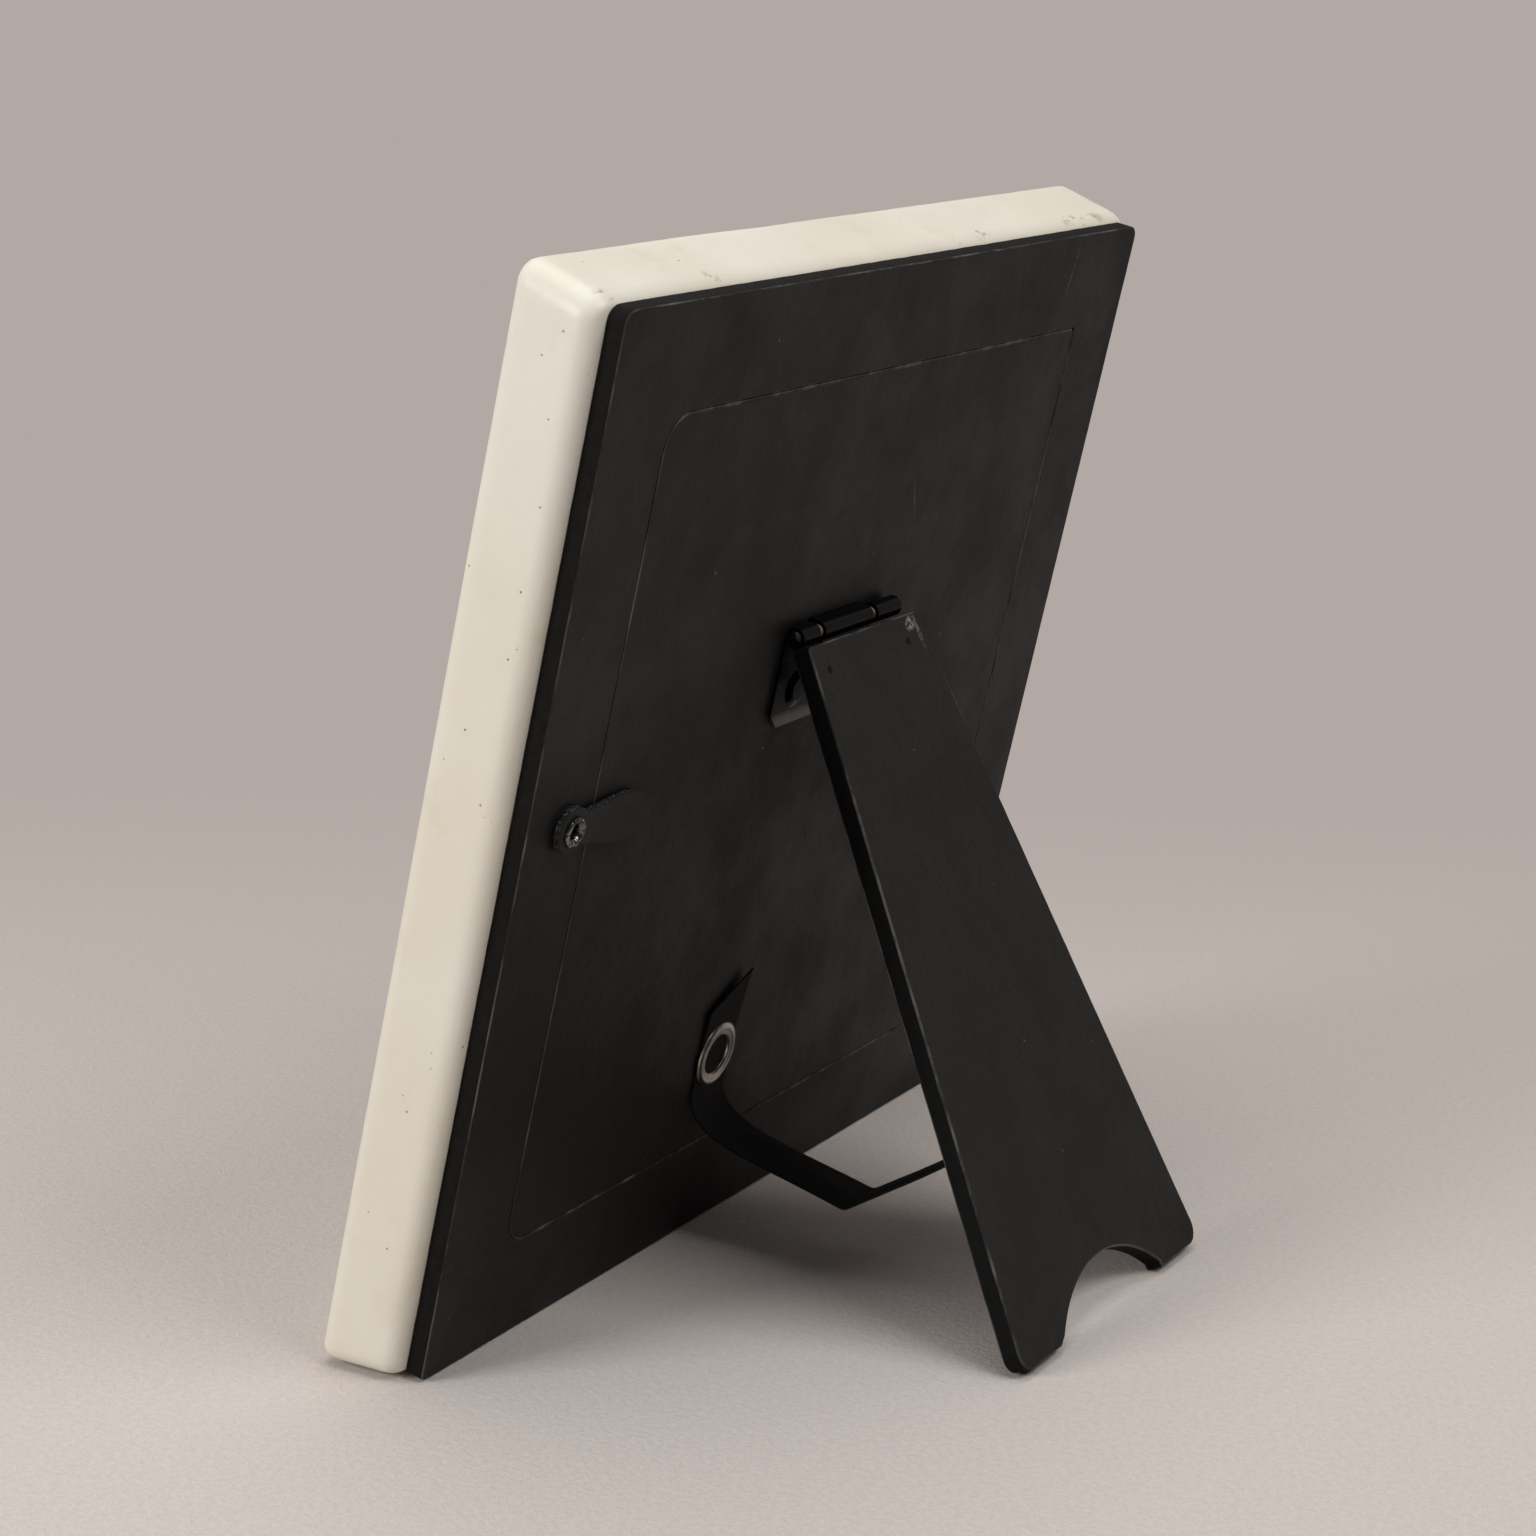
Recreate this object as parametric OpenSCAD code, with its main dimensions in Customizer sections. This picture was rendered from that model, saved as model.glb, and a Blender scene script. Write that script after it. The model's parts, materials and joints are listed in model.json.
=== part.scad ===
// Tabletop picture frame with an easel leg: a thick cream body, a black back board with a
// picture hatch held by a turn button, and a folding leg with a ribbon stay.
// Origin: on the table, under the middle of the frame's outer box. +Z is up and the picture
// faces -Y. The upright pieces are drawn in board coordinates: x across, y out of the back
// board's rear face and z up the board from its lower edge.

/* [Frame body] */
// Angle that the frame leans back from upright
lean = 11.6; // [6:0.2:18]
// Thickness of the body from front to back
body_depth = 14; // [12:0.5:22]
// How far the body's rear edge stands out above the back board
body_rim = 1.2; // [0.2:0.1:3]
// How far the body stands out beside the back board
body_side = 2.8; // [0.1:0.1:4]
// Slope of the body's top face, falling to the rear
top_draft = 10.5; // [0:0.5:14]
// Corner radius of the body seen from the front
body_corner_r = 3; // [1:0.5:8]
// Radius along the front edges of the body's top and bottom
front_edge_r = 2; // [0.5:0.25:4]
// Radius along the rear edges of the body's top and bottom
rear_edge_r = 1; // [0.2:0.1:2]

/* [Picture] */
// Width of the picture
picture_w = 127; // [100:1:130]
// Height of the picture
picture_h = 127; // [106:1:140]
// Thickness of the picture print
picture_t = 0.3; // [0.2:0.05:1]
// How much of the picture's edge the body covers
sight_lip = 5; // [3:0.5:12]
// Width and depth of the sloping edge round the window
window_bevel = 3; // [1:0.5:5]
// Thickness of the glass
glass_t = 2; // [1:0.25:3]
// Thickness of the backing card
card_t = 1.5; // [0.8:0.1:3]
// Free depth between the backing card and the back board
pocket_free = 2.2; // [2:0.1:4]
// Width of one retaining tab
tab_w = 6; // [4:0.5:10]
// Thickness of the retaining tabs
tab_t = 0.4; // [0.3:0.05:0.8]
// Length of a retaining tab that is driven into the body
tab_in = 3; // [2:0.5:6]
// Length of a retaining tab over the backing card
tab_out = 6; // [3:0.5:10]

/* [Back board] */
// Width of the back board
board_w = 160; // [152:1:210]
// Height of the back board
board_h = 160; // [133:1:220]
// Thickness of the back board
board_t = 2.8; // [2:0.1:4]
// Corner radius of the back board
board_corner_r = 2; // [0.5:0.25:6]
// Gap between the table and the board's lower rear edge
board_lift = 0.3; // [0.1:0.1:2]
// Thickness of the black paper that covers the board and hinges the hatch
paper_t = 0.2; // [0.15:0.05:0.5]
// Width of the hatch
hatch_w = 127; // [100:1:130]
// Height of the hatch
hatch_h = 127; // [110:1:132]
// Radius of the hatch's two free corners
hatch_corner_r = 5; // [1:0.5:10]
// Width of the cut between the hatch and the board
saw_cut = 0.4; // [0.3:0.05:1]

/* [Turn button] */
// Distance from the hatch's free edge to the pivot
button_gap = 6.7; // [4.5:0.1:8]
// Height of the pivot above the middle of the board
button_rise = 5; // [-20:0.2:20]
// Length from the pivot to the tip of the leaf
button_reach = 20.2; // [12:0.2:30]
// Angle of the leaf below level
button_droop = 3.5; // [0:0.5:10]
// Width of the leaf
button_leaf_w = 7.4; // [6:0.2:12]
// Radius of the round end at the pivot
button_hub_r = 3.6; // [3.2:0.1:6]
// Thickness of the button
button_t = 1.2; // [0.8:0.1:2.5]
// Radius of the rivet's shank
rivet_r = 1.5; // [1:0.1:2]
// Radius of the rivet's rolled end
rivet_head_r = 2.4; // [2.2:0.1:3.2]
// Thickness of the washer under the button
button_washer_t = 0.2; // [0.2:0.1:1]

/* [Easel hinge] */
// Height of the hinge pin above the hatch's lower edge
hinge_rise = 87.5; // [70:0.5:100]
// Distance of the hinge's middle from the leg's middle
hinge_x = 1; // [0:0.1:1.5]
// Width of the hinge
hinge_w = 31; // [26:0.5:32]
// Width of the leg leaf's knuckle
mid_knuckle_w = 15.1; // [10:0.1:20]
// Distance of that knuckle's middle from the hinge's middle
mid_knuckle_x = 1.2; // [-2:0.1:2]
// Gap between neighbouring knuckles, where the pin shows
knuckle_gap = 1.6; // [0.2:0.1:2]
// Thickness of the hinge's steel
steel_t = 0.55; // [0.4:0.05:0.7]
// Radius of the hinge pin
pin_r = 1.05; // [0.8:0.05:1.4]
// Length of the base plate below the pin
base_drop = 15.3; // [12:0.1:24]
// Distance of the base rivets from the hinge's middle
base_rivet_x = 9.2; // [6:0.1:11]
// Distance of the base rivets above the plate's lower edge
base_rivet_rise = 5.8; // [4.5:0.1:7]
// Radius of the base rivets' heads
base_rivet_head_r = 3.2; // [2.4:0.1:3.4]
// Width of the leg's leaf inside the leg
leaf_w = 28; // [22:0.5:30]
// Length of the leg's leaf below the leg's top edge
leaf_drop = 9; // [7:0.5:20]
// Radius of the brads that hold the leaf in the leg
brad_r = 0.6; // [0.4:0.05:0.9]
// Distance of the brads below the leg's top edge
brad_drop = 4.2; // [2.5:0.1:6]

/* [Easel leg] */
// Angle between the leg and the back board at the hinge's stop
leg_open = 37.3; // [30:0.1:44]
// Thickness of the leg
leg_t = 3.2; // [2.6:0.1:5]
// Width of the leg at its top
leg_top_w = 34.2; // [34:0.2:44]
// Width of the leg at its feet
leg_foot_w = 64.2; // [48:0.2:90]
// Gap between the folded leg and the hinge's base plate
fold_gap = 0.1; // [0.1:0.05:1]
// Gap between the leg's top edge and the knuckles
leg_top_gap = 0.3; // [0.2:0.05:1]
// Width of the arch between the feet
arch_w = 37; // [24:0.5:40]
// Height of the arch between the feet
arch_h = 8; // [5:0.25:12]
// Radius of the feet's corners
foot_corner_r = 2.5; // [0.5:0.25:4]

/* [Ribbon stay] */
// Width of the ribbon
ribbon_w = 10; // [8:0.5:14]
// Thickness of the ribbon
ribbon_t = 0.35; // [0.2:0.05:0.5]
// Distance of the ribbon's middle from the leg's middle
ribbon_x = 9.9; // [0:0.1:12]
// Height of the eyelet above the hatch's lower edge
eyelet_rise = 15.5; // [12:0.5:24]
// Outer radius of the eyelet's flange
eyelet_r = 5.5; // [5:0.1:6.5]
// Radius of the eyelet's open bore
eyelet_bore_r = 3.2; // [2.5:0.1:3.5]
// Length of the ribbon's tail above the eyelet's middle
ribbon_tail = 14; // [8:0.5:20]
// Distance from the pin to where the ribbon meets the leg
ribbon_leg_at = 81.4; // [60:0.2:84]
// Length of the ribbon's end that is glued to the leg
ribbon_glued = 10; // [6:0.5:16]
// How far the ribbon's fold hangs below a straight line
fold_drop = 16.9; // [8:0.1:22]
// Where along that line the fold hangs
fold_at = 0.53; // [0.4:0.01:0.6]

/* [Hidden] */
$fn = 64;
pocket_clear = 0.75;      // between the picture, the glass or the card and the pocket's walls
pin_clear = 0.05;         // between the pin and the leg leaf's knuckle
button_clear = 0.05;      // between the rivet and the turn button's bore
rest_clear = 0.1;         // between moving faces that lie on each other
hole_clear = 0.1;         // round shanks in paper, card, board and ribbon
recess_clear = 0.6;       // round a rivet's head in a recess
stop_gap = 0.05;          // between the leg leaf's tail and the board at the stop
past = 1;                 // how far cutting shapes run past the faces that they cut
tab_spread = 0.28;        // place of the tabs along each side, as a share of that side
sheath = 0.5;             // wall of the eyelet's barrel and of the tubular rivet
head_t = 0.5;             // thickness of flat rivet heads, eyelet flanges and washers
roll_t = 0.5;             // height of rolled rivet and eyelet ends
dome_t = 0.6;             // height of the base rivets' heads
dome_share = 0.6;         // top radius of those heads, as a share of their foot
base_rivet_r = 1.3;       // shank of the base rivets
plate_chamfer = 2.3;      // lower corners of the hinge's base plate
pin_recess = 2;           // depth of the pin's ends inside the outer knuckles
slot_clear = 0.05;        // between the leg's leaf and the slot that it stands in
notch_clear = 0.4;        // between the middle knuckle and the base plate below it
brad_edge = 1.4;          // distance of the brads from the leaf's sides
button_neck = 0.68;       // width of the button's neck, as a share of the leaf

mid_z = board_h / 2;
body_w = board_w + 2 * body_side;
body_back = -board_t;
body_front = body_back - body_depth;
rear_low = -(board_lift + board_t * sin(lean)) / cos(lean);
rear_top = board_h + body_rim;
front_low = rear_low - body_depth * tan(lean);
front_top = rear_top + body_depth * tan(top_draft);
pocket_w = picture_w + 2 * pocket_clear;
pocket_h = picture_h + 2 * pocket_clear;
window_w = picture_w - 2 * sight_lip;
window_h = picture_h - 2 * sight_lip;
card_y = body_back - pocket_free;
print_y = card_y - card_t;
glass_y = print_y - picture_t;
pocket_floor = glass_y - glass_t;
hatch_low = mid_z - hatch_h / 2;

button_x = hatch_w / 2 + button_gap;
button_z = mid_z + button_rise;
button_y = paper_t + button_washer_t + rest_clear;

pin_z = hatch_low + hinge_rise;
knuckle_r = pin_r + pin_clear + steel_t;
hinge_stand = paper_t + rest_clear + knuckle_r;
knuckle_x = hinge_x + mid_knuckle_x;
base_low = pin_z - base_drop;
base_y = paper_t;
base_rivet_z = base_low + base_rivet_rise;

// The pin and the leg in the upright object, before it is centred on its origin
leg_slope = leg_open - lean;
leg_inner = base_y + steel_t + fold_gap - hinge_stand;
leg_outer = leg_inner + leg_t;
leg_top = -(knuckle_r + leg_top_gap);
brad_x = leaf_w / 2 - brad_edge;
pin_at = on_board(hinge_stand, pin_z);
leg_reach = (pin_at[1] + leg_inner * sin(leg_slope)) / cos(leg_slope);
foot_at = on_leg(leg_outer, leg_reach);
front_at = (body_front + front_edge_r + (front_edge_r - board_lift) * sin(lean)) / cos(lean)
    - front_edge_r;
centre_y = (front_at + foot_at[0]) / 2;

eyelet_z = hatch_low + eyelet_rise;
eyelet_barrel_r = eyelet_bore_r + sheath;
ribbon_y = paper_t + ribbon_t / 2;

// A point y behind the board's face and z up it, as [y, z] of the upright object
function on_board(y, z) =
    [z * sin(lean) + y * cos(lean), board_lift + z * cos(lean) - y * sin(lean)];

// A point y outside the pin's axis and d down the leg, as [y, z] of the upright object
function on_leg(y, d) = pin_at
    + d * [sin(leg_slope), -cos(leg_slope)] + y * [cos(leg_slope), sin(leg_slope)];

function unit(v) = v / norm(v);

// The corner p between its neighbours a and b, rounded to radius r
function round_corner(a, p, b, r, steps = 6) =
    let (
        u = unit(a - p),
        v = unit(b - p),
        half = acos(u * v) / 2,
        centre = p + unit(u + v) * r / sin(half),
        start = p + u * r / tan(half) - centre,
        end = p + v * r / tan(half) - centre,
        from = atan2(start[1], start[0]),
        sweep = (atan2(end[1], end[0]) - from + 540) % 360 - 180
    )
    [for (i = [0:steps]) let (angle = from + sweep * i / steps)
        centre + r * [cos(angle), sin(angle)]];

// An outline with each corner rounded to its own radius
function rounded(points, radii) = let (n = len(points)) [
    for (i = [0:n - 1])
        each round_corner(points[(i + n - 1) % n], points[i], points[(i + 1) % n], radii[i])
];

function box_points(w, h, mid) = [
    [-w / 2, mid - h / 2], [w / 2, mid - h / 2], [w / 2, mid + h / 2], [-w / 2, mid + h / 2]
];

// A point at t on a cubic curve from a to d with the handles b and c
function curve(a, b, c, d, t) = pow(1 - t, 3) * a + 3 * pow(1 - t, 2) * t * b
    + 3 * (1 - t) * t * t * c + t * t * t * d;

// The unit normal of a path at point i
function path_normal(path, i) = let (
        before = path[max(i - 1, 0)],
        after = path[min(i + 1, len(path) - 1)],
        along = unit(after - before)
    ) [-along[1], along[0]];

// The strip of thickness t along a path
function strip(path, t) = let (n = len(path) - 1) concat(
    [for (i = [0:n]) path[i] + path_normal(path, i) * t / 2],
    [for (i = [n:-1:0]) path[i] - path_normal(path, i) * t / 2]
);

// Board coordinates
module on_frame() translate([0, -centre_y, board_lift]) rotate([-lean, 0, 0]) children();

// Leg coordinates: z up the leg from the pin's axis, y out of its outer side
module on_easel()
    translate([0, pin_at[0] - centre_y, pin_at[1]]) rotate([leg_slope, 0, 0]) children();

// A flat shape drawn in x and z, made into a plate from y0 to y1
module plate(y0, y1) translate([0, y1, 0]) rotate([90, 0, 0])
    linear_extrude(height = y1 - y0) children();

// A shape drawn in y and z, made into a bar of width w along x
module across(w) rotate([90, 0, 90]) linear_extrude(height = w, center = true) children();

// A turned shape at x and z whose own z runs out of the board
module turned(x, z, y = 0) translate([x, y, z]) rotate([-90, 0, 0]) children();

// A plain round bar through the board from y0 to y1
module bar(x, z, r, y0, y1) turned(x, z, y0) cylinder(r = r, h = y1 - y0);

// A rod along x at the hinge pin's place, given in y and z
module rod(r, w) rotate([0, 90, 0]) cylinder(r = r, h = w, center = true);

module board_outline(grow = 0) polygon(rounded(
    box_points(board_w + 2 * grow, board_h + 2 * grow, mid_z),
    [for (i = [0:3]) board_corner_r]
));

// The hatch: square corners on the hinged side, rounded ones on the free side
module hatch_outline(grow = 0) polygon(rounded(
    box_points(hatch_w + 2 * grow, hatch_h + 2 * grow, mid_z),
    [0.2, hatch_corner_r + grow, hatch_corner_r + grow, 0.2]
));

// The retaining tabs: two on each side of the pocket, lying on the backing card
module tab_set(clear = 0) {
    side_x = pocket_w / 2 + (tab_in - tab_out) / 2;
    side_z = pocket_h / 2 + (tab_in - tab_out) / 2;
    long = tab_in + tab_out + 2 * clear;
    for (side = [-1, 1], end = [-1, 1]) {
        translate([side * side_x, card_y + tab_t / 2, mid_z + end * pocket_h * tab_spread])
            cube([long, tab_t + 2 * clear, tab_w + 2 * clear], center = true);
        translate([end * pocket_w * tab_spread, card_y + tab_t / 2, mid_z + side * side_z])
            cube([tab_w + 2 * clear, tab_t + 2 * clear, long], center = true);
    }
}

// The window with its sloping edge, as a cutting shape
module window_cut() {
    depth = window_bevel + past;
    plate(body_front, pocket_floor + past)
        polygon(box_points(window_w, window_h, mid_z));
    intersection() {
        across(window_w + 2 * depth) polygon([
            [body_front - past, mid_z - window_h / 2 - depth],
            [body_front - past, mid_z + window_h / 2 + depth],
            [body_front + window_bevel, mid_z + window_h / 2],
            [body_front + window_bevel, mid_z - window_h / 2]
        ]);
        translate([0, 0, mid_z - board_h / 2]) linear_extrude(height = board_h) polygon([
            [-window_w / 2 - depth, body_front - past],
            [window_w / 2 + depth, body_front - past],
            [window_w / 2, body_front + window_bevel],
            [-window_w / 2, body_front + window_bevel]
        ]);
    }
}

module frame_body() color("#dedac8") on_frame() difference() {
    intersection() {
        across(body_w) polygon(rounded(
            [[body_front, front_low], [body_back, rear_low],
                [body_back, rear_top], [body_front, front_top]],
            [front_edge_r, rear_edge_r, rear_edge_r, front_edge_r]
        ));
        plate(body_front - past, body_back + past) polygon(rounded(
            box_points(body_w, front_top - front_low, (front_top + front_low) / 2),
            [for (i = [0:3]) body_corner_r]
        ));
    }
    window_cut();
    plate(pocket_floor, body_back + past) polygon(box_points(pocket_w, pocket_h, mid_z));
    tab_set();
    bar(button_x, button_z, rivet_head_r + recess_clear, body_back - head_t - recess_clear,
        body_back + past);
}

module glass_pane() color("#c9d6d4") on_frame() plate(pocket_floor, glass_y)
    polygon(box_points(picture_w, picture_h, mid_z));

module picture_print() color("#b9b4a6") on_frame() plate(glass_y, print_y)
    polygon(box_points(picture_w, picture_h, mid_z));

module backing_card() color("#8b7355") on_frame() plate(print_y, card_y)
    polygon(box_points(picture_w, picture_h, mid_z));

module retaining_tabs() color("#a9abae") on_frame() tab_set();

module back_board() color("#262524") on_frame() difference() {
    plate(body_back, 0) difference() {
        board_outline();
        hatch_outline(saw_cut);
    }
    bar(button_x, button_z, rivet_r + hole_clear, body_back - past, past);
}

// Holes through the hatch for the hinge's rivets and the ribbon's eyelet
module hatch_holes() {
    for (side = [-1, 1])
        bar(hinge_x + side * base_rivet_x, base_rivet_z, base_rivet_r, body_back - past, past);
    bar(ribbon_x, eyelet_z, eyelet_barrel_r + hole_clear, body_back - past, past);
}

module hatch_panel() color("#262524") on_frame() difference() {
    plate(body_back, 0) hatch_outline();
    hatch_holes();
}

// One sheet over the board and the hatch, slit on three sides and creased on the fourth
module cover_paper() color("#2b2a29") on_frame() difference() {
    plate(0, paper_t) board_outline();
    plate(-past, paper_t + past) intersection() {
        difference() {
            hatch_outline(saw_cut);
            hatch_outline();
        }
        translate([-hatch_w / 2, 0]) square([board_w, board_h]);
    }
    hatch_holes();
    bar(button_x, button_z, rivet_r + hole_clear, -past, past);
}

// A hollow rivet: flat head inside the board and rolled end over the button
module button_rivet() color("#9b9c9a") on_frame() turned(button_x, button_z) {
    rolled_y = button_y + button_t + rest_clear;
    difference() {
        union() {
            translate([0, 0, body_back - head_t]) cylinder(r = rivet_head_r, h = head_t);
            translate([0, 0, body_back]) cylinder(r = rivet_r, h = rolled_y - body_back);
            translate([0, 0, rolled_y])
                cylinder(r1 = rivet_head_r, r2 = rivet_r, h = roll_t);
        }
        translate([0, 0, body_back])
            cylinder(r = rivet_r - sheath, h = rolled_y + roll_t - body_back + past);
    }
}

module button_washer() color("#1d1c1b") on_frame() turned(button_x, button_z, paper_t)
    difference() {
        cylinder(r = button_hub_r - 2 * hole_clear, h = button_washer_t);
        translate([0, 0, -past]) cylinder(r = rivet_r + hole_clear, h = button_washer_t + 2 * past);
    }

// Round hub, narrow neck and long round-ended leaf over the hatch
module turn_button() color("#1f1e1e") on_frame() difference() {
    leaf_long = button_reach - button_hub_r;
    neck_w = button_leaf_w * button_neck;
    translate([button_x, 0, button_z]) plate(button_y, button_y + button_t) rotate(button_droop) union() {
        circle(r = button_hub_r);
        polygon(rounded(
            [[0, -neck_w / 2], [0, neck_w / 2], [-leaf_long / 2, button_leaf_w / 2],
                [-button_reach, button_leaf_w / 2], [-button_reach, -button_leaf_w / 2],
                [-leaf_long / 2, -button_leaf_w / 2]],
            [0.2, 0.2, button_leaf_w, button_leaf_w / 2 - rest_clear,
                button_leaf_w / 2 - rest_clear, button_leaf_w]
        ));
    }
    bar(button_x, button_z, rivet_r + button_clear, button_y - past, button_y + button_t + past);
}

// Flat plate on the hatch with a knuckle at each end and a notch for the middle one
module hinge_base() color("#161616") on_frame() difference() {
    union() {
        plate(base_y, base_y + steel_t) translate([hinge_x, 0]) polygon([
            [-hinge_w / 2 + plate_chamfer, base_low], [hinge_w / 2 - plate_chamfer, base_low],
            [hinge_w / 2, base_low + plate_chamfer], [hinge_w / 2, pin_z],
            [-hinge_w / 2, pin_z], [-hinge_w / 2, base_low + plate_chamfer]
        ]);
        translate([hinge_x, hinge_stand, pin_z]) rod(knuckle_r, hinge_w);
    }
    translate([hinge_x, hinge_stand, pin_z]) rod(pin_r, hinge_w + past);
    translate([knuckle_x, 0, pin_z]) across(mid_knuckle_w + 2 * knuckle_gap) translate(
        [0, -knuckle_r - notch_clear]) square(2 * (hinge_stand + knuckle_r));
    for (side = [-1, 1]) bar(hinge_x + side * base_rivet_x, base_rivet_z, base_rivet_r, 0,
        base_y + steel_t + past);
}

// Shanks and low domed heads
module base_rivets() color("#141414") on_frame() for (side = [-1, 1]) {
    rivet_x = hinge_x + side * base_rivet_x;
    bar(rivet_x, base_rivet_z, base_rivet_r, body_back - head_t, base_y + steel_t);
    turned(rivet_x, base_rivet_z, base_y + steel_t)
        cylinder(r1 = base_rivet_head_r, r2 = base_rivet_head_r * dome_share, h = dome_t);
}

module base_rivet_burrs() color("#8d8e8c") on_frame() for (side = [-1, 1]) difference() {
    rivet_x = hinge_x + side * base_rivet_x;
    bar(rivet_x, base_rivet_z, 2 * base_rivet_r, body_back - head_t, body_back);
    bar(rivet_x, base_rivet_z, base_rivet_r, body_back - 2 * head_t, 0);
}

module hinge_pin() color("#8b8780") on_frame()
    translate([hinge_x, hinge_stand, pin_z]) rod(pin_r, hinge_w - 2 * pin_recess);

// The leaf's flat part, which stands in a slot in the leg's top edge
module leaf_flat(clear = 0, over = 0) plate(-steel_t / 2 - clear, steel_t / 2 + clear)
    translate([hinge_x - leaf_w / 2 - clear, leg_top - leaf_drop - clear])
        square([leaf_w + 2 * clear, leaf_drop + clear + over]);

// Leaf in the leg, knuckle round the pin, and a tail that meets the board at the stop
module hinge_leaf() color("#161616") {
    on_easel() difference() {
        union() {
            leaf_flat();
            translate([knuckle_x, 0, 0]) {
                across(mid_knuckle_w) translate([-steel_t / 2, leg_top - leaf_drop / 2])
                    square([steel_t, leaf_drop / 2 - leg_top]);
                rod(knuckle_r, mid_knuckle_w);
            }
        }
        translate([hinge_x, 0, 0]) rod(pin_r + pin_clear, hinge_w);
        brad_set(brad_r);
    }
    on_frame() difference() {
        translate([knuckle_x, 0, pin_z]) across(mid_knuckle_w) translate(
            [paper_t + stop_gap, knuckle_r - steel_t]) square([knuckle_r, steel_t]);
        translate([hinge_x, hinge_stand, pin_z]) rod(pin_r + pin_clear, hinge_w);
    }
}

// Brads through the leg and its leaf
module brad_set(r) for (side = [-1, 1])
    bar(hinge_x + side * brad_x, leg_top - brad_drop, r, leg_inner, leg_outer);

module leg_brads() color("#3a3a3a") on_easel() brad_set(brad_r);

// Tapered board with an arch between two rounded feet
module easel_leg() color("#2d2c2b") on_easel() difference() {
    arch_r = (pow(arch_w / 2, 2) + pow(arch_h, 2)) / (2 * arch_h);
    plate(leg_inner, leg_outer) difference() {
        polygon(rounded(
            [[-leg_foot_w / 2, -leg_reach], [leg_foot_w / 2, -leg_reach],
                [leg_top_w / 2, leg_top], [-leg_top_w / 2, leg_top]],
            [foot_corner_r, foot_corner_r, 0.4, 0.4]
        ));
        translate([0, arch_h - arch_r - leg_reach]) circle(r = arch_r, $fn = 128);
    }
    leaf_flat(slot_clear, past);
    brad_set(brad_r);
}

// Flat tail and eyelet on the hatch, a loose fold, and an end glued up the leg's inner face
module ribbon_stay() color("#1a1918") {
    glue_y = leg_inner - rest_clear - ribbon_t / 2;
    eyelet = on_board(ribbon_y, eyelet_z);
    leave = on_board(ribbon_y, eyelet_z - eyelet_r - 2 * rest_clear);
    meet = on_leg(glue_y, ribbon_leg_at);
    fold = eyelet + (meet - eyelet) * fold_at - [0, fold_drop];
    down = [-sin(lean), -cos(lean)];
    steps = 12;
    path = concat(
        [on_board(ribbon_y, eyelet_z + ribbon_tail)],
        [for (i = [0:steps]) curve(leave, leave + down * fold_drop / 2,
            fold + (leave - fold) * 0.4 - [0, fold_drop * 0.1], fold, i / steps)],
        [for (i = [1:steps]) let (t = i / steps)
            fold + (meet - fold) * t - [0, 4 * t * (1 - t)]],
        [on_leg(glue_y, ribbon_leg_at - ribbon_glued)]
    );
    difference() {
        translate([ribbon_x, -centre_y, 0]) across(ribbon_w) polygon(strip(path, ribbon_t));
        on_frame()
            bar(ribbon_x, eyelet_z, eyelet_barrel_r + hole_clear, 0, eyelet_r);
    }
}

// Barrel through the hatch with a flange over the ribbon and a rolled end inside
module ribbon_eyelet() color("#8f8d88") on_frame() turned(ribbon_x, eyelet_z) {
    flange_y = paper_t + ribbon_t;
    roll_y = body_back - head_t;
    difference() {
        union() {
            translate([0, 0, flange_y]) cylinder(r1 = eyelet_r, r2 = eyelet_r - sheath, h = head_t);
            translate([0, 0, roll_y]) cylinder(r = eyelet_barrel_r, h = flange_y - roll_y);
            translate([0, 0, roll_y - roll_t])
                cylinder(r1 = eyelet_barrel_r, r2 = eyelet_barrel_r + sheath, h = roll_t);
        }
        translate([0, 0, roll_y - roll_t - past])
            cylinder(r = eyelet_bore_r, h = flange_y - roll_y + roll_t + head_t + 2 * past);
    }
}

module eyelet_washer() color("#8f8d88") on_frame() turned(ribbon_x, eyelet_z, body_back - head_t)
    difference() {
        cylinder(r = eyelet_r, h = head_t);
        translate([0, 0, -past]) cylinder(r = eyelet_barrel_r, h = head_t + 2 * past);
    }

frame_body();
glass_pane();
picture_print();
backing_card();
retaining_tabs();
back_board();
hatch_panel();
cover_paper();
button_rivet();
button_washer();
turn_button();
hinge_base();
base_rivets();
base_rivet_burrs();
hinge_pin();
hinge_leaf();
leg_brads();
easel_leg();
ribbon_stay();
ribbon_eyelet();
eyelet_washer();
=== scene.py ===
"""A tabletop picture frame, seen from behind: cream body, black back board with a hatch and a
turn button, and an easel leg with a ribbon stay. Metres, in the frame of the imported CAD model."""
import json
import math

import bmesh
import bpy
from mathutils import Matrix, Vector, noise


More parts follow.
